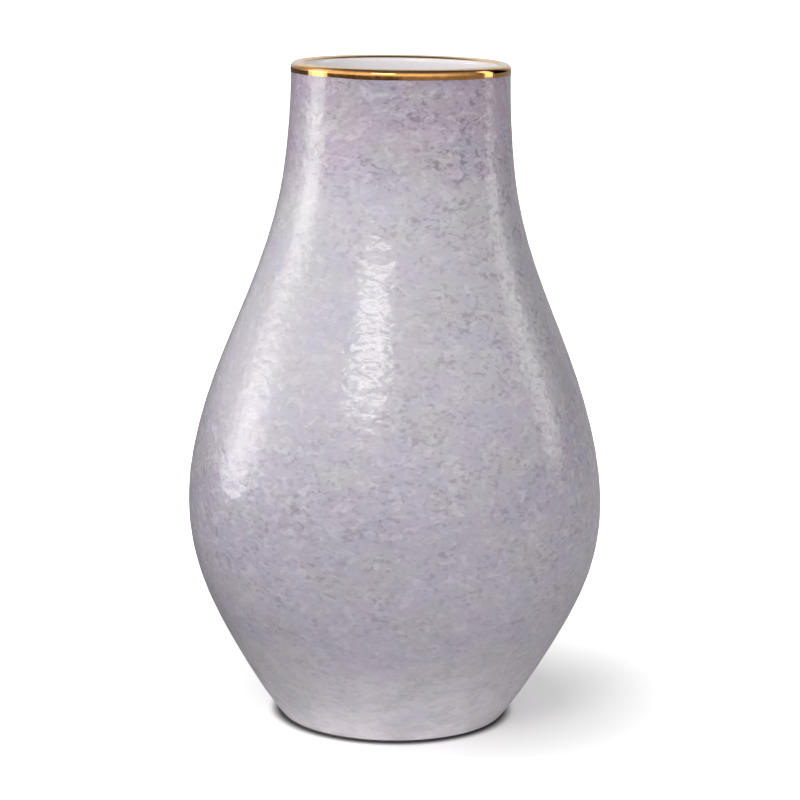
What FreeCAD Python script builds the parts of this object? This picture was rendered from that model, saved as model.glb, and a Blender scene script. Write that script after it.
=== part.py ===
import FreeCAD, Part
import math
import os

# A thrown porcelain vase: one body under four coats.  Every piece is a profile in the XZ plane
# turned round the Z axis.  Sizes are in millimetres, the origin is the centre of the foot plane
# and +Z points up.

# Outside of the coloured glaze, from its edge above the bare foot to the foot of the collar,
# as (radius, height) stations of one smooth curve.
OUTLINE = [
    (58.85, 1.2),
    (73.35, 22.0),
    (89.4, 50.0),
    (102.2, 80.0),
    (107.0, 112.3),
    (102.2, 150.0),
    (89.4, 190.0),
    (71.6, 235.0),
    (60.4, 275.0),
    (56.8, 305.0),
    (55.55, 334.8),
]
FOOT_FLARE_DEG = 40.0       # lean of the outline at the foot, measured from upright

# Surface of the white lining, from the middle of the floor up to the lip.
LINING = [
    (0.0, 13.5),
    (36.0, 14.4),
    (54.5, 18.9),
    (65.2, 27.0),
    (82.1, 53.8),
    (95.1, 82.1),
    (100.0, 112.4),
    (95.6, 148.4),
    (83.2, 187.6),
    (65.6, 232.8),
    (54.3, 273.9),
    (50.7, 304.4),
    (49.55, 336.8),
]

GLAZE = 0.45                # thickness of each glaze coat
GOLD = 0.2                  # thickness of the gold over the glaze

# The lip is a full round at the top of a short upright collar.
LIP_CENTRE = (52.55, 336.8)
LIP_RADIUS = 3.0            # over the glaze, under the gold
GOLD_INNER_EDGE_DEG = 144.0  # where the gold stops inside, counted round the lip from outside

# Turned recess inside the foot ring.
RECESS_RADIUS = 48.5
RECESS_DEPTH = 5.0
RECESS_FILLET = 2.0
RECESS_GLAZE_EDGE_Z = 1.8   # the recess glaze stops short of the bare ring
RING_EDGE_RADIUS = 0.8      # softening of both edges of the ring

UP = (0.0, 1.0)
OUTWARD = (1.0, 0.0)
FOOT_FLARE = (math.sin(math.radians(FOOT_FLARE_DEG)), math.cos(math.radians(FOOT_FLARE_DEG)))


def point(radius, height):
    return FreeCAD.Vector(radius, 0, height)


def line(start, end):
    return Part.makeLine(point(*start), point(*end))


def polar(centre, radius, angle_deg):
    """The point at an angle round a centre: 0 degrees is outward, 90 degrees is up."""
    angle = math.radians(angle_deg)
    return (centre[0] + radius * math.cos(angle), centre[1] + radius * math.sin(angle))


def arc(centre, radius, start_deg, end_deg):
    angles = (start_deg, (start_deg + end_deg) / 2, end_deg)
    return Part.Arc(*[point(*polar(centre, radius, angle)) for angle in angles]).toShape()


def smooth_curve(stations, start_direction, end_direction):
    """A spline through the stations; its parameter is chord length, so unit end tangents fit it."""
    curve = Part.BSplineCurve()
    curve.interpolate(
        Points=[point(*station) for station in stations],
        InitialTangent=point(*start_direction),
        FinalTangent=point(*end_direction),
        Scale=False,
    )
    return curve


def shifted(stations, curve, distance):
    """The stations of a curve moved along its normals, away from the axis of the vase."""
    moved = []
    for radius, height in stations:
        along = curve.tangent(curve.parameter(point(radius, height)))[0]
        moved.append((radius + distance * along.z, height - distance * along.x))
    return moved


def outline_curve():
    return smooth_curve(OUTLINE, FOOT_FLARE, UP)


def lining_curve():
    return smooth_curve(LINING, OUTWARD, UP)


def body_outside_stations():
    return shifted(OUTLINE, outline_curve(), -GLAZE)


def body_bore_stations():
    return shifted(LINING, lining_curve(), GLAZE)


def body_outside_edge():
    return smooth_curve(body_outside_stations(), FOOT_FLARE, UP).toShape()


def body_bore_edge():
    return smooth_curve(body_bore_stations(), OUTWARD, UP).toShape()


def collar_line(radius):
    """The upright line of the collar, from its foot to the level of the lip centre."""
    return line((radius, OUTLINE[-1][1]), (radius, LIP_CENTRE[1]))


def turned(edges):
    """The solid swept by a closed profile, in edge order, in one turn round the Z axis."""
    face = Part.Face(Part.Wire(edges))
    return face.revolve(FreeCAD.Vector(0, 0, 0), FreeCAD.Vector(0, 0, 1), 360)


def porcelain_body():
    outside = body_outside_stations()
    bore = body_bore_stations()
    biscuit_lip = LIP_RADIUS - GLAZE
    glaze_edge_r, glaze_edge_z = outside[0]
    foot_r = glaze_edge_r - glaze_edge_z * math.tan(math.radians(FOOT_FLARE_DEG))
    fillet_centre = (RECESS_RADIUS - RECESS_FILLET, RECESS_DEPTH - RECESS_FILLET)
    solid = turned([
        body_outside_edge(),
        collar_line(LIP_CENTRE[0] + biscuit_lip),
        arc(LIP_CENTRE, biscuit_lip, 0, 180),
        body_bore_edge(),
        line(bore[0], (0, RECESS_DEPTH)),
        line((0, RECESS_DEPTH), (fillet_centre[0], RECESS_DEPTH)),
        arc(fillet_centre, RECESS_FILLET, 90, 0),
        line((RECESS_RADIUS, fillet_centre[1]), (RECESS_RADIUS, 0)),
        line((RECESS_RADIUS, 0), (foot_r, 0)),
        line((foot_r, 0), outside[0]),
    ])
    ring_edges = [edge for edge in solid.Edges if edge.BoundBox.ZMax < 0.001]
    return solid.makeFillet(RING_EDGE_RADIUS, ring_edges)


def mottled_glaze():
    outside = body_outside_stations()
    biscuit_lip = LIP_RADIUS - GLAZE
    return turned([
        outline_curve().toShape(),
        collar_line(LIP_CENTRE[0] + LIP_RADIUS),
        arc(LIP_CENTRE, LIP_RADIUS, 0, 90),
        line(polar(LIP_CENTRE, LIP_RADIUS, 90), polar(LIP_CENTRE, biscuit_lip, 90)),
        arc(LIP_CENTRE, biscuit_lip, 90, 0),
        collar_line(LIP_CENTRE[0] + biscuit_lip),
        body_outside_edge(),
        line(outside[0], OUTLINE[0]),
    ])


def liner_glaze():
    bore = body_bore_stations()
    biscuit_lip = LIP_RADIUS - GLAZE
    return turned([
        lining_curve().toShape(),
        arc(LIP_CENTRE, LIP_RADIUS, 180, 90),
        line(polar(LIP_CENTRE, LIP_RADIUS, 90), polar(LIP_CENTRE, biscuit_lip, 90)),
        arc(LIP_CENTRE, biscuit_lip, 90, 180),
        body_bore_edge(),
        line(bore[0], LINING[0]),
    ])


def gold_rim_band():
    glaze_foot = (LIP_CENTRE[0] + LIP_RADIUS, OUTLINE[-1][1])
    gold_foot = (glaze_foot[0] + GOLD, glaze_foot[1])
    gilded_lip = LIP_RADIUS + GOLD
    return turned([
        collar_line(gold_foot[0]),
        arc(LIP_CENTRE, gilded_lip, 0, GOLD_INNER_EDGE_DEG),
        line(
            polar(LIP_CENTRE, gilded_lip, GOLD_INNER_EDGE_DEG),
            polar(LIP_CENTRE, LIP_RADIUS, GOLD_INNER_EDGE_DEG),
        ),
        arc(LIP_CENTRE, LIP_RADIUS, GOLD_INNER_EDGE_DEG, 0),
        collar_line(glaze_foot[0]),
        line(glaze_foot, gold_foot),
    ])


def base_recess_glaze():
    fillet_centre = (RECESS_RADIUS - RECESS_FILLET, RECESS_DEPTH - RECESS_FILLET)
    glaze_radius = RECESS_RADIUS - GLAZE
    glaze_ceiling = RECESS_DEPTH - GLAZE
    return turned([
        line((0, RECESS_DEPTH), (fillet_centre[0], RECESS_DEPTH)),
        arc(fillet_centre, RECESS_FILLET, 90, 0),
        line((RECESS_RADIUS, fillet_centre[1]), (RECESS_RADIUS, RECESS_GLAZE_EDGE_Z)),
        line((RECESS_RADIUS, RECESS_GLAZE_EDGE_Z), (glaze_radius, RECESS_GLAZE_EDGE_Z)),
        line((glaze_radius, RECESS_GLAZE_EDGE_Z), (glaze_radius, fillet_centre[1])),
        arc(fillet_centre, RECESS_FILLET - GLAZE, 0, 90),
        line((fillet_centre[0], glaze_ceiling), (0, glaze_ceiling)),
        line((0, glaze_ceiling), (0, RECESS_DEPTH)),
    ])


def main():
    nodes = {
        "porcelain_body": porcelain_body,
        "mottled_glaze": mottled_glaze,
        "liner_glaze": liner_glaze,
        "gold_rim_band": gold_rim_band,
        "base_recess_glaze": base_recess_glaze,
    }
    os.makedirs("parts", exist_ok=True)
    for name, build in nodes.items():
        shape = build()
        shape.exportStep(f"parts/{name}.step")


main()
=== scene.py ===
import math

import bmesh
import bpy
import numpy as np
from mathutils import Euler, Matrix, Vector, noise


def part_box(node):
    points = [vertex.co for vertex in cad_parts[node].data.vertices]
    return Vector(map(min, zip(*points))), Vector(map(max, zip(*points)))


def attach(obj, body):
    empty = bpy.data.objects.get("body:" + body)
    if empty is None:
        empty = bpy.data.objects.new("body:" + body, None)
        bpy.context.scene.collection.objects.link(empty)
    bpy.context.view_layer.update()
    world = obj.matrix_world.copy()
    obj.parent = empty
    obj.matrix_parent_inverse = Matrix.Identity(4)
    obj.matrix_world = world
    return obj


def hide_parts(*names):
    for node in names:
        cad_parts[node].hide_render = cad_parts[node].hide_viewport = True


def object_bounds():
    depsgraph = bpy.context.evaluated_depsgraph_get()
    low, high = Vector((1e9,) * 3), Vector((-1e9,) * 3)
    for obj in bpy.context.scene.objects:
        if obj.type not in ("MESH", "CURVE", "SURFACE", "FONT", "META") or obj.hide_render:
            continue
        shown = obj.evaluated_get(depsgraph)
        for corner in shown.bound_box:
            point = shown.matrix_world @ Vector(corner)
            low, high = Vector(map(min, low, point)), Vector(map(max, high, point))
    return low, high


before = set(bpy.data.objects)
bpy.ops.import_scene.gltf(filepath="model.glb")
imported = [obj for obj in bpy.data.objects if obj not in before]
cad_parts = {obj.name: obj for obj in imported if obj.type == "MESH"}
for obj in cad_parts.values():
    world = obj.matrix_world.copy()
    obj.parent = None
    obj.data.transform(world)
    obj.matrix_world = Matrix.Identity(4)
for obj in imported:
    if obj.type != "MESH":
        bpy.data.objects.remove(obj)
cad_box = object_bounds()

BODY = "root"
HEIGHT = cad_box[1][2]

# Lathed meshes, in metres: every piece has the same steps round the axis, so the coats nest.
STEPS_ROUND = 240
SECTION_STEP = 0.003
CORNER_DEG = 50.0           # a sharper turn in a section stays a crisp edge
MERGE = 1e-6

# What the potter's hands left, in metres.  All pieces share it, so nothing opens or crosses.
DRIFT = [(0.0, 0.0004), (0.08, 0.0007), (0.13, 0.0001), (0.24, 0.0001), (0.29, 0.0004), (0.34, 0.0005)]
RING_PITCH = 0.0125
RING_HEIGHT = 0.00005
RING_WANDER = 0.003             # how far a throwing ring climbs and sinks on its way round
RING_PATCH = 0.03               # height over which the rings come and go
SWELL_SIZE = 0.07
SWELL_HEIGHT = 0.0002
TRUE_RADIUS = 0.05              # rings and swells fade out from here to the axis
GILDED_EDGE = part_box("gold_rim_band")[0][2]     # where glaze meets gold, painted by hand
EDGE_WAVER = 0.0003
EDGE_REACH = 0.003
LIP_CREST_RADIUS = 0.0526
FOOT_EDGE = 0.0578              # outer edge of the bare ring
FOOT_SHADE_WIDTH = 0.0012             # width of the painted shade there, standing in for the shadow line under the foot
GOLD_PALES = (0.0018, 0.0005)   # below the crest of the lip: where the gold starts to pale, and is pale

# Camera, in metres and degrees.
CAMERA_PLACE = (0.0024, -1.3344, 0.4323)
CAMERA_PITCH = 11.292
CAMERA_ROLL = 0.814
CAMERA_LENS = 118.27

# Studio.
FLOOR_RADIUS = 14.0
FLOOR_BOUNCE = (0.03, 0.5)      # how much soft light it throws back, from its left to its right
FLOOR_BOUNCE_SPAN = (-0.45, 0.05)
FLOOR_NEAR_BOUNCE = 0.95        # the same, close to the foot
FLOOR_NEAR = (0.07, 0.13)       # from the axis: close to the foot, and no longer close
FLOOR_MIRRORED = (0.2, 0.6)     # how pale it is in the glaze and the gold, from its left to its right
FLOOR_MIRRORED_SPAN = (-0.3, 0.3)
SHADE_CENTRE = (0.03, 0.02, 0.0)
SHADE_GLOW = (0.12, 0.58)       # glow of the floor to the camera, inside the shade and at its edge; the lower glow inside is painted shade
SHADE_EDGE = (0.06, 0.14)       # from SHADE_CENTRE
WHITE_FROM = (0.17, 0.28)       # past the shade the glow rises to 1, which is white paper
CONTACT_SHADOW_DARKEST = 0.08          # of the painted contact shadow, a dark line where the foot meets the floor
CONTACT_SHADOW_SPAN = (0.0585, 0.0658)
MOUTH_SPOT_POWER = 25.0
MOUTH_SPOT_ABOVE = 1.2
MOUTH_SPOT_RADIUS = 0.043       # of its circle of light, at the lip
MOUTH_SPOT_BLEND = 0.4
MOUTH_SPOT_SOFTNESS = 0.003     # radius of its bulb, small so that its light stays off the gold
FLAG_X = -0.33
FLAG_ENDS = (-0.4, 0.35)
FLAG_LEVELS = (0.03, 0.11)      # its lower and upper edge
SKY_FRONT = -26                 # azimuth of the brightest part of the room
SKY_STRENGTH = 1.43
SKY_OVERHEAD = 0.12             # strength overhead, as a part of that at eye level
BACKDROP = 0.78                 # strength of the lit paper behind
BACKDROP_PLACE = (180, 30)      # its azimuth and elevation
LAMP_COLOR = (1.0, 0.985, 0.955)
# name, azimuth, elevation, distance, (width, height), power in watts
SOFTBOXES = [
    ("left_softbox", -95, 8, 1.3, (0.66, 0.56), 2.3),
    ("left_softbox_core", -94, 8, 1.29, (0.38, 0.42), 1.1),
    ("upper_left_softbox", -96, 30, 1.45, (0.5, 0.6), 0.6),
    ("right_strip", 102, 20, 1.6, (0.38, 1.05), 3.0),
    ("left_low_strip", -99, -4.5, 1.3, (0.4, 0.12), 0.55),
    ("key_softbox", -19, 33, 2.0, (0.76, 0.3), 7.0),
]


# ---------------------------------------------------------------- geometry

def cut_edges(node):
    """Edges where the XZ plane cuts a CAD node, as pairs of (x, z)."""
    cut = bmesh.new()
    cut.from_mesh(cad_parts[node].data)
    bmesh.ops.remove_doubles(cut, verts=cut.verts, dist=MERGE)
    everything = cut.verts[:] + cut.edges[:] + cut.faces[:]
    sliced = bmesh.ops.bisect_plane(
        cut, geom=everything, dist=MERGE, plane_co=(0, 0, 0), plane_no=(0, 1, 0)
    )
    edges = []
    for item in sliced["geom_cut"]:
        if isinstance(item, bmesh.types.BMEdge):
            edges.append([(round(v.co.x, 6), round(v.co.z, 6)) for v in item.verts])
    cut.free()
    return edges


def section(node):
    """The outline of a solid of revolution on its +X side, as (radius, height) in order.

    The second value is True for a closed outline, False for one that starts and ends on the axis."""
    neighbours = {}
    for start, end in cut_edges(node):
        if max(start[0], end[0]) <= 0:
            continue
        start, end = [(0.0, height) if radius < 0 else (radius, height) for radius, height in (start, end)]
        neighbours.setdefault(start, []).append(end)
        neighbours.setdefault(end, []).append(start)
    ends = [p for p, others in neighbours.items() if len(others) == 1]
    first = min(ends or neighbours)
    outline = [first]
    following = neighbours[first][0]
    while following != first:
        outline.append(following)
        onward = [p for p in neighbours[following] if p != outline[-2]]
        if not onward:
            return outline, False
        following = onward[0]
    return outline, True


def spline_slopes(distances, values):
    """Slopes of the natural cubic spline through values at distances."""
    gaps = np.diff(distances)
    rises = np.diff(values, axis=0) / gaps[:, None]
    count = len(distances)
    matrix = np.zeros((count, count))
    target = np.zeros((count, 2))
    matrix[0, :2] = 2, 1
    matrix[-1, -2:] = 1, 2
    target[0] = 3 * rises[0]
    target[-1] = 3 * rises[-1]
    for i in range(1, count - 1):
        matrix[i, i - 1 : i + 2] = gaps[i], 2 * (gaps[i - 1] + gaps[i]), gaps[i - 1]
        target[i] = 3 * (gaps[i] * rises[i - 1] + gaps[i - 1] * rises[i])
    return np.linalg.solve(matrix, target)


def smoothed(run):
    """The points of one smooth run of a section, with more between them on a cubic spline."""
    points = np.array(run)
    if len(points) < 3:
        return run
    distances = np.concatenate([[0], np.cumsum(np.linalg.norm(np.diff(points, axis=0), axis=1))])
    slopes = spline_slopes(distances, points)
    result = []
    for i, gap in enumerate(np.diff(distances)):
        pieces = math.ceil(gap / SECTION_STEP)
        for t in np.arange(pieces) / pieces:
            start = (1 + 2 * t) * (1 - t) ** 2 * points[i] + t * (1 - t) ** 2 * gap * slopes[i]
            end = t * t * (3 - 2 * t) * points[i + 1] - t * t * (1 - t) * gap * slopes[i + 1]
            result.append(tuple(start + end))
    return result + [run[-1]]


def turn_deg(before, at, after):
    """How sharply an outline turns at a point."""
    first = Vector(at) - Vector(before)
    second = Vector(after) - Vector(at)
    return math.degrees(first.angle(second))


def fine_section(node):
    """A node's section with its smooth runs filled in and its corners kept."""
    outline, closed = section(node)
    if closed:
        corner = next(
            i for i, point in enumerate(outline)
            if turn_deg(outline[i - 1], point, outline[(i + 1) % len(outline)]) > CORNER_DEG
        )
        outline = outline[corner:] + outline[: corner + 1]
    result = []
    run = [outline[0]]
    for before, point, after in zip(outline, outline[1:], outline[2:]):
        run.append(point)
        if turn_deg(before, point, after) > CORNER_DEG:
            result += smoothed(run)[:-1]
            run = [point]
    result += smoothed(run + [outline[-1]])
    return (result[:-1] if closed else result), closed


def noise_round(angle, waves, level):
    """Noise that closes on itself round the axis; more waves make it busier, level picks the pattern."""
    return noise.noise(Vector((waves * math.cos(angle), waves * math.sin(angle), level)))


def thrown(radius, height, angle):
    """Where a point of the true vase lies on the hand-thrown one."""
    heights, shifts = zip(*DRIFT)
    drift = float(np.interp(height, heights, shifts))
    ring_at = height + RING_WANDER * noise_round(angle, 0.7, 4.0)
    ring_strength = 0.6 + noise.noise(Vector((0, 7.0, height / RING_PATCH)))
    ring = math.sin(math.tau * ring_at / RING_PITCH) * ring_strength
    swell = noise_round(angle, 1.0, height / SWELL_SIZE)
    fade = min(1.0, radius / TRUE_RADIUS)
    moved = radius + fade * (RING_HEIGHT * ring + SWELL_HEIGHT * swell)
    near_edge = max(0.0, 1 - abs(height - GILDED_EDGE) / EDGE_REACH) * (radius > LIP_CREST_RADIUS)
    lifted = max(height, 0.0) + EDGE_WAVER * near_edge * noise_round(angle, 2.5, 9.0)
    return (moved * math.cos(angle) + drift, moved * math.sin(angle), lifted)


def lathe(node):
    """A CAD solid of revolution rebuilt as one closed mesh of quads, then given its thrown shape."""
    outline, closed = fine_section(node)
    mesh = bpy.data.meshes.new(node)
    build = bmesh.new()
    rings = []
    for radius, height in outline:
        if radius < MERGE:
            rings.append([build.verts.new(thrown(0.0, height, 0.0))] * STEPS_ROUND)
            continue
        angles = (math.tau * step / STEPS_ROUND for step in range(STEPS_ROUND))
        rings.append([build.verts.new(thrown(radius, height, angle)) for angle in angles])
    pairs = list(zip(rings, rings[1:]))
    if closed:
        pairs.append((rings[-1], rings[0]))
    for lower, upper in pairs:
        for step in range(STEPS_ROUND):
            after = (step + 1) % STEPS_ROUND
            corners = [lower[step], lower[after], upper[after], upper[step]]
            build.faces.new(list(dict.fromkeys(corners)))
    bmesh.ops.recalc_face_normals(build, faces=build.faces)
    build.to_mesh(mesh)
    build.free()
    mesh.shade_smooth()
    mesh.set_sharp_from_angle(angle=math.radians(CORNER_DEG))
    piece = bpy.data.objects.new(node + "_thrown", mesh)
    bpy.context.scene.collection.objects.link(piece)
    return piece


def make_piece(node, material):
    """The thrown piece that stands for a CAD node, with its material."""
    piece = lathe(node)
    piece.data.materials.append(material)
    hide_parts(node)
    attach(piece, BODY)


# ---------------------------------------------------------------- materials

class Nodes:
    """Short names for the nodes of one tree."""

    def __init__(self, tree):
        self.tree = tree

    def node(self, kind, inputs, **settings):
        """A new node; each input is a plain value, or a socket to link from."""
        node = self.tree.nodes.new(kind)
        for name, value in settings.items():
            setattr(node, name, value)
        for name, value in inputs.items():
            self.connect(value, node.inputs[name])
        return node

    def connect(self, value, socket):
        if isinstance(value, bpy.types.NodeSocket):
            self.tree.links.new(value, socket)
        else:
            socket.default_value = value

    def fade(self, value, low, high, start=0.0, end=1.0, kind="SMOOTHSTEP"):
        """value mapped from low..high to start..end, and held outside that."""
        inputs = {"Value": value, "From Min": low, "From Max": high, "To Min": start, "To Max": end}
        return self.node("ShaderNodeMapRange", inputs, interpolation_type=kind).outputs["Result"]

    def math(self, operation, first, second):
        node = self.node("ShaderNodeMath", {0: first, 1: second}, operation=operation)
        return node.outputs["Value"]

    def mix(self, factor, first, second):
        """Colours mixed by factor; sockets 0, 6 and 7 are the node's factor and two colours."""
        inputs = {0: factor, 6: first, 7: second}
        return self.node("ShaderNodeMix", inputs, data_type="RGBA").outputs[2]

    def ray(self, kind):
        """1 where the light path is of that kind."""
        return self.node("ShaderNodeLightPath", {}).outputs[kind]


class Paint(Nodes):
    """One procedural material whose marks lie in object space, in metres."""

    def __init__(self, name):
        self.material = bpy.data.materials.new(name)
        self.material.use_nodes = True
        super().__init__(self.material.node_tree)
        self.shader = self.tree.nodes["Principled BSDF"]
        self.place = self.tree.nodes.new("ShaderNodeTexCoord").outputs["Object"]

    def stretched(self, scale):
        """Object space scaled per axis, for marks that are wider than they are tall."""
        return self.node("ShaderNodeMapping", {"Vector": self.place, "Scale": scale}).outputs["Vector"]

    def noise(self, scale, detail=2.0, roughness=0.5, distortion=0.0, place=None):
        inputs = {
            "Vector": place or self.place,
            "Scale": scale,
            "Detail": detail,
            "Roughness": roughness,
            "Distortion": distortion,
        }
        return self.node("ShaderNodeTexNoise", inputs).outputs["Fac"]

    def ramp(self, value, stops):
        """A smooth colour ramp through (position, colour) stops."""
        node = self.node("ShaderNodeValToRGB", {"Fac": value})
        band = node.color_ramp
        while len(band.elements) < len(stops):
            band.elements.new(1.0)
        for element, (position, color) in zip(band.elements, stops):
            element.position = position
            element.color = color
        band.interpolation = "EASE"
        return node.outputs["Color"]

    def along(self, axis):
        """Object space X, Y or Z."""
        return self.node("ShaderNodeSeparateXYZ", {"Vector": self.place}).outputs[axis]

    def height(self):
        """0 at the foot, 1 at the crest of the lip."""
        return self.math("DIVIDE", self.along("Z"), HEIGHT)

    def bump(self, value, distance):
        """Relief of that depth in metres."""
        return self.node("ShaderNodeBump", {"Height": value, "Distance": distance}).outputs["Normal"]

    def set(self, **values):
        """Shader inputs by name, with _ for a space."""
        for name, value in values.items():
            self.connect(value, self.shader.inputs[name.replace("_", " ")])


def srgb(red, green, blue):
    """A linear colour, with alpha, from 0-255 display values."""
    channels = []
    for value in (red, green, blue):
        value /= 255
        channels.append(value / 12.92 if value <= 0.04045 else ((value + 0.055) / 1.055) ** 2.4)
    return (*channels, 1.0)


def grey(value):
    """A linear grey, with alpha."""
    return (value, value, value, 1.0)


def clouded_tone(paint, height, place):
    """The glaze under its specks: palest at the foot, pinkest at the lip, clouded blue, pink and grey."""
    tone = paint.ramp(height, [
        (0.00, srgb(243, 236, 241)),
        (0.07, srgb(229, 223, 232)),
        (0.20, srgb(204, 197, 212)),
        (0.40, srgb(189, 182, 197)),
        (0.60, srgb(203, 198, 209)),
        (0.80, srgb(202, 197, 208)),
        (0.88, srgb(191, 178, 194)),
        (1.00, srgb(180, 164, 181)),
    ])
    clouds = [(36.0, srgb(184, 189, 209)), (47.0, srgb(206, 186, 209)), (29.0, srgb(199, 200, 192))]
    for scale, color in clouds:
        cloud = paint.fade(paint.noise(scale, 3.0, 0.55, 0.4, place), 0.45, 0.65, 0.0, 0.3)
        tone = paint.mix(cloud, tone, color)
    return tone


def speck_crowding(paint, height, place):
    """How crowded the specks are: few at the foot, most at the neck, in patches; sparser at the left,
    partly the glaze and partly painted light where the lamps wash the specks out.
    """
    crowding = paint.ramp(height, [
        (0.00, grey(0.1)),
        (0.10, grey(0.22)),
        (0.25, grey(0.5)),
        (0.45, grey(0.6)),
        (0.60, grey(0.58)),
        (0.78, grey(0.6)),
        (0.88, grey(1.0)),
    ])
    patches = paint.fade(paint.noise(60.0, 2.0, 0.5, 0.0, place), 0.35, 0.65, 0.3, 1.0)
    crowding = paint.math("MULTIPLY", crowding, patches)
    # partly painted light: fewer specks on the left, the lamp-lit side, so that side reads paler
    sparse_side_painted_light = paint.fade(paint.along("X"), -0.04, 0.015, 0.35, 1.0)
    shoulder = paint.ramp(height, [
        (0.42, grey(0.0)),
        (0.52, grey(1.0)),
        (0.74, grey(1.0)),
        (0.84, grey(0.6)),
    ])
    return paint.math("MULTIPLY", crowding, paint.mix(shoulder, grey(1.0), sparse_side_painted_light))


def mottled_glaze():
    """Thick glossy glaze: faint blue, pink and grey clouds under worm-like lilac specks."""
    paint = Paint("mottled_lilac_glaze")
    height = paint.height()
    wide_place = paint.stretched((1.0, 1.0, 1.5))
    streak_place = paint.stretched((1.0, 1.0, 2.5))
    tone = clouded_tone(paint, height, wide_place)
    crowding = speck_crowding(paint, height, wide_place)

    smudges = paint.fade(paint.noise(125.0, 2.0, 0.5, 0.3, wide_place), 0.48, 0.68, 0.0, 0.4)
    tone = paint.mix(paint.math("MULTIPLY", smudges, crowding), tone, srgb(152, 138, 154))
    worms = paint.fade(paint.noise(300.0, 1.5, 0.45, 0.4, wide_place), 0.5, 0.66)
    tone = paint.mix(paint.math("MULTIPLY", worms, crowding), tone, srgb(152, 138, 156))
    dots = paint.fade(paint.noise(560.0, 1.0, 0.5, 0.3, wide_place), 0.57, 0.7, 0.0, 0.4)
    peppered = paint.math("MULTIPLY", dots, paint.fade(height, 0.7, 0.88, 0.45, 1.0))
    tone = paint.mix(paint.math("MULTIPLY", peppered, crowding), tone, srgb(138, 124, 144))
    pale = paint.fade(paint.noise(160.0, 2.0, 0.5, 0.8, wide_place), 0.5, 0.7, 0.0, 0.4)
    tone = paint.mix(pale, tone, srgb(226, 221, 228))
    low_down = paint.fade(height, 0.25, 0.5, 0.16, 0.0)
    streaks = paint.fade(paint.noise(110.0, 3.0, 0.6, 0.2, streak_place), 0.45, 0.62)
    tone = paint.mix(paint.math("MULTIPLY", streaks, low_down), tone, srgb(176, 168, 180))

    peel = paint.noise(170.0, 1.0, 0.4, 0.3, wide_place)
    paint.set(
        Base_Color=tone,
        Roughness=0.3,
        IOR=1.5,
        Coat_Weight=0.5,
        Coat_Roughness=0.14,
        Normal=paint.bump(peel, 0.0002),
        Coat_Normal=paint.bump(peel, 0.00045),
    )
    return paint.material


def white_glaze():
    """Thin clear-white glaze that pools a little, over faint dimples."""
    paint = Paint("white_liner_glaze")
    pooled = paint.fade(paint.noise(25.0, 2.0), 0.35, 0.65)
    tone = paint.mix(pooled, srgb(250, 245, 247), srgb(244, 240, 244))
    dimples = paint.bump(paint.noise(260.0, 1.0, 0.4), 0.00003)
    paint.set(Base_Color=tone, Roughness=0.12, IOR=1.5, Normal=dimples)
    return paint.material


def gold_lustre():
    """Brushed gold: rich on the outside of the lip, paler over its crest."""
    paint = Paint("gold_lustre")
    worn = paint.fade(paint.noise(180.0, 4.0, 0.6), 0.4, 0.7)
    rich = paint.mix(worn, srgb(222, 162, 98), srgb(208, 146, 82))
    pale = paint.mix(worn, srgb(236, 208, 170), srgb(226, 196, 156))
    rich_below, pale_above = (HEIGHT - depth for depth in GOLD_PALES)
    tone = paint.mix(paint.fade(paint.along("Z"), rich_below, pale_above), rich, pale)
    roughness = paint.fade(paint.noise(420.0, 3.0, 0.6), 0.3, 0.7, 0.05, 0.12)
    brushed = paint.bump(paint.noise(500.0, 2.0, 0.5), 0.000012)
    paint.set(Base_Color=tone, Metallic=1.0, Roughness=roughness, Normal=brushed)
    return paint.material


def bare_porcelain():
    """Unglazed biscuit, with a band of painted shade at the outer edge of the foot, for the shadow line
    where it meets the floor.
    """
    paint = Paint("bare_porcelain")
    grain = paint.noise(1500.0, 4.0, 0.7)
    tone = paint.mix(paint.fade(grain, 0.3, 0.7), srgb(226, 220, 210), srgb(208, 200, 188))
    flat = paint.node("ShaderNodeVectorMath", {0: paint.place, 1: (1.0, 1.0, 0.0)}, operation="MULTIPLY")
    across = paint.node("ShaderNodeVectorMath", {0: flat.outputs["Vector"]}, operation="LENGTH")
    # painted shade: a dark band at the outer edge of the foot, standing in for its shadow line on the
    # floor
    painted_foot_shade = paint.fade(across.outputs["Value"], FOOT_EDGE - FOOT_SHADE_WIDTH, FOOT_EDGE)
    tone = paint.mix(painted_foot_shade, tone, srgb(62, 56, 54))
    paint.set(Base_Color=tone, Roughness=0.7, IOR=1.5, Normal=paint.bump(grain, 0.00003))
    return paint.material


# ---------------------------------------------------------------- studio

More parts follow.
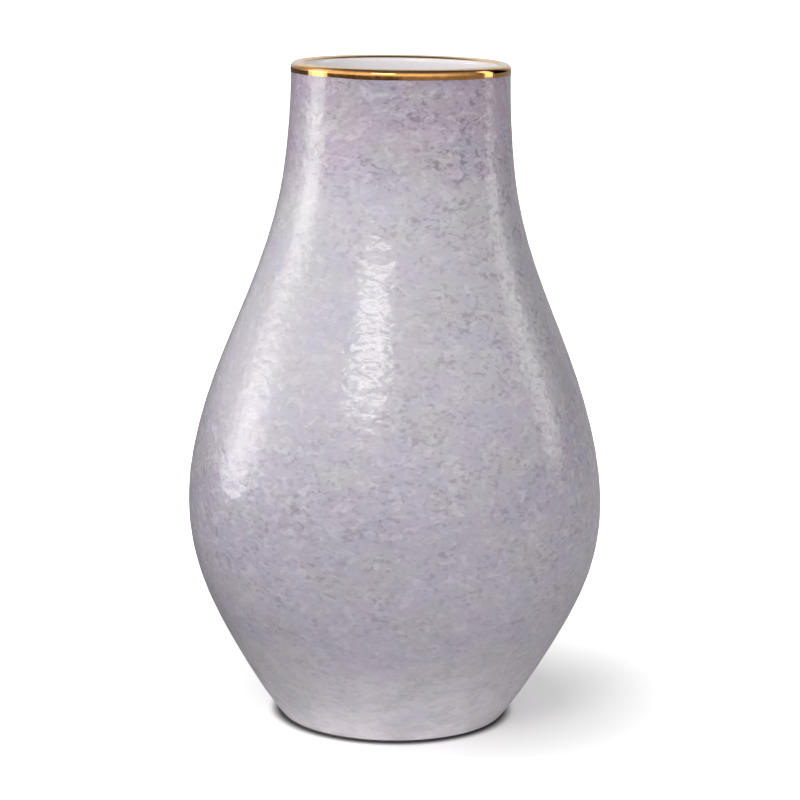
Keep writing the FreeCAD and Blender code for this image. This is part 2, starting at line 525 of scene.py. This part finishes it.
def paper():
    """White to the camera, and shaded round the foot, partly by real shade and partly by painted shade.

    What it throws onto the vase and how it mirrors there are set apart from how the camera sees it."""
    paint = Paint("pale_floor")
    across = paint.along("X")
    from_axis = paint.node("ShaderNodeVectorMath", {0: paint.place}, operation="LENGTH").outputs["Value"]
    far_bounce = paint.fade(across, *FLOOR_BOUNCE_SPAN, *FLOOR_BOUNCE)
    nearness = paint.fade(from_axis, *FLOOR_NEAR, 1.0, 0.0)
    bounce = paint.mix(nearness, far_bounce, grey(FLOOR_NEAR_BOUNCE))
    shade = paint.node("ShaderNodeVectorMath", {0: paint.place, 1: SHADE_CENTRE}, operation="DISTANCE")
    away = shade.outputs["Value"]
    # painted shade: the floor glows less to the camera close to the foot, deepening its shadow there
    near_glow = paint.fade(away, *SHADE_EDGE, *SHADE_GLOW, "LINEAR")
    glow = paint.mix(paint.fade(away, *WHITE_FROM), near_glow, grey(1.0))
    # painted contact shadow: the floor's colour and glow are darkened right at the edge of the foot
    painted_contact_shadow = paint.fade(from_axis, *CONTACT_SHADOW_SPAN, CONTACT_SHADOW_DARKEST, 1.0)
    seen = paint.ray("Is Camera Ray")
    mirrored = paint.fade(across, *FLOOR_MIRRORED_SPAN, *FLOOR_MIRRORED)
    tone = paint.mix(paint.ray("Is Diffuse Ray"), mirrored, bounce)
    paint.set(
        Base_Color=paint.mix(seen, tone, painted_contact_shadow),
        Roughness=1.0,
        Specular_IOR_Level=0.0,
        Emission_Color=grey(1.0),
        Emission_Strength=paint.math("MULTIPLY", seen, paint.math("MULTIPLY", glow, painted_contact_shadow)),
    )
    return paint.material


def pale_floor():
    """A wide disc of paper, level with the foot."""
    build = bmesh.new()
    bmesh.ops.create_circle(build, cap_ends=True, segments=128, radius=FLOOR_RADIUS)
    mesh = bpy.data.meshes.new("floor")
    build.to_mesh(mesh)
    build.free()
    floor = bpy.data.objects.new("floor", mesh)
    bpy.context.scene.collection.objects.link(floor)
    mesh.materials.append(paper())


def direction(azimuth_deg, elevation_deg):
    """Unit vector from the vase: azimuth 0 is towards the camera, 90 is to its right."""
    azimuth = math.radians(azimuth_deg)
    elevation = math.radians(elevation_deg)
    flat = math.cos(elevation)
    return Vector((flat * math.sin(azimuth), -flat * math.cos(azimuth), math.sin(elevation)))


def softbox(name, azimuth, elevation, distance, size, power):
    """A rectangular light that faces the middle of the vase and isn't seen itself."""
    lamp = bpy.data.lights.new(name, "AREA")
    lamp.shape = "RECTANGLE"
    lamp.size, lamp.size_y = size
    lamp.energy = power
    lamp.color = LAMP_COLOR
    box = bpy.data.objects.new(name, lamp)
    towards = direction(azimuth, elevation)
    box.location = Vector((0, 0, HEIGHT / 2)) + towards * distance
    box.rotation_euler = towards.to_track_quat("Z", "Y").to_euler()
    box.visible_camera = False
    bpy.context.scene.collection.objects.link(box)


def mouth_spot():
    """A narrow spot straight down the mouth, so that the inside isn't black from above."""
    lamp = bpy.data.lights.new("mouth_spot", "SPOT")
    lamp.energy = MOUTH_SPOT_POWER
    lamp.color = LAMP_COLOR
    lamp.spot_size = 2 * math.atan(MOUTH_SPOT_RADIUS / MOUTH_SPOT_ABOVE)
    lamp.spot_blend = MOUTH_SPOT_BLEND
    lamp.shadow_soft_size = MOUTH_SPOT_SOFTNESS
    spot = bpy.data.objects.new("mouth_spot", lamp)
    spot.location = (0, 0, HEIGHT + MOUTH_SPOT_ABOVE)
    bpy.context.scene.collection.objects.link(spot)


def black_flag():
    """A low dark card to the left, unseen itself, that shades the lower left of the vase."""
    near, far = FLAG_ENDS
    low, high = FLAG_LEVELS
    corners = [(FLAG_X, near, low), (FLAG_X, far, low), (FLAG_X, far, high), (FLAG_X, near, high)]
    mesh = bpy.data.meshes.new("black_flag")
    mesh.from_pydata(corners, [], [(0, 1, 2, 3)])
    flag = bpy.data.objects.new("black_flag", mesh)
    flag.visible_camera = False
    bpy.context.scene.collection.objects.link(flag)
    paint = Paint("black_card")
    paint.set(Base_Color=grey(0.02), Roughness=1.0, Specular_IOR_Level=0.0)
    mesh.materials.append(paint.material)


def soft_sky():
    """White to the camera; to all else, a room bright in front, dim overhead, with lit paper behind."""
    world = bpy.data.worlds.new("soft_sky")
    world.use_nodes = True
    sky = Nodes(world.node_tree)
    towards = sky.node("ShaderNodeTexCoord", {}).outputs["Generated"]
    brightest = tuple(direction(SKY_FRONT, 0))
    facing = sky.node("ShaderNodeVectorMath", {0: towards, 1: brightest}, operation="DOT_PRODUCT")
    front = sky.fade(facing.outputs["Value"], -0.75, 0.6, 0.0, SKY_STRENGTH, "LINEAR")
    level = sky.node("ShaderNodeSeparateXYZ", {"Vector": towards}).outputs["Z"]
    strength = sky.math("MULTIPLY", front, sky.fade(level, 0.4, 0.9, 1.0, SKY_OVERHEAD))
    lit_side = tuple(direction(*BACKDROP_PLACE))
    behind = sky.node("ShaderNodeVectorMath", {0: towards, 1: lit_side}, operation="DOT_PRODUCT")
    backdrop = sky.fade(behind.outputs["Value"], 0.65, 0.95, 0.0, BACKDROP)
    strength = sky.math("ADD", strength, backdrop)
    seen = sky.ray("Is Camera Ray")
    lit = sky.math("MULTIPLY", strength, sky.math("SUBTRACT", 1.0, seen))
    background = world.node_tree.nodes["Background"]
    sky.connect(grey(1.0), background.inputs["Color"])
    sky.connect(sky.math("ADD", lit, seen), background.inputs["Strength"])
    bpy.context.scene.world = world


def camera():
    """The camera, tipped down and rolled a little."""
    data = bpy.data.cameras.new("camera")
    data.lens = CAMERA_LENS
    data.clip_end = 100.0
    view = bpy.data.objects.new("camera", data)
    aim = Euler((math.radians(90 - CAMERA_PITCH), 0, 0)).to_matrix().to_4x4()
    roll = Matrix.Rotation(math.radians(CAMERA_ROLL), 4, "Z")
    view.matrix_world = Matrix.Translation(CAMERA_PLACE) @ aim @ roll
    bpy.context.scene.collection.objects.link(view)
    bpy.context.scene.camera = view


make_piece("mottled_glaze", mottled_glaze())
make_piece("liner_glaze", white_glaze())
make_piece("base_recess_glaze", white_glaze())
make_piece("gold_rim_band", gold_lustre())
make_piece("porcelain_body", bare_porcelain())

pale_floor()
black_flag()
camera()
soft_sky()
for light in SOFTBOXES:
    softbox(*light)
mouth_spot()
bpy.context.scene.view_settings.view_transform = "Standard"
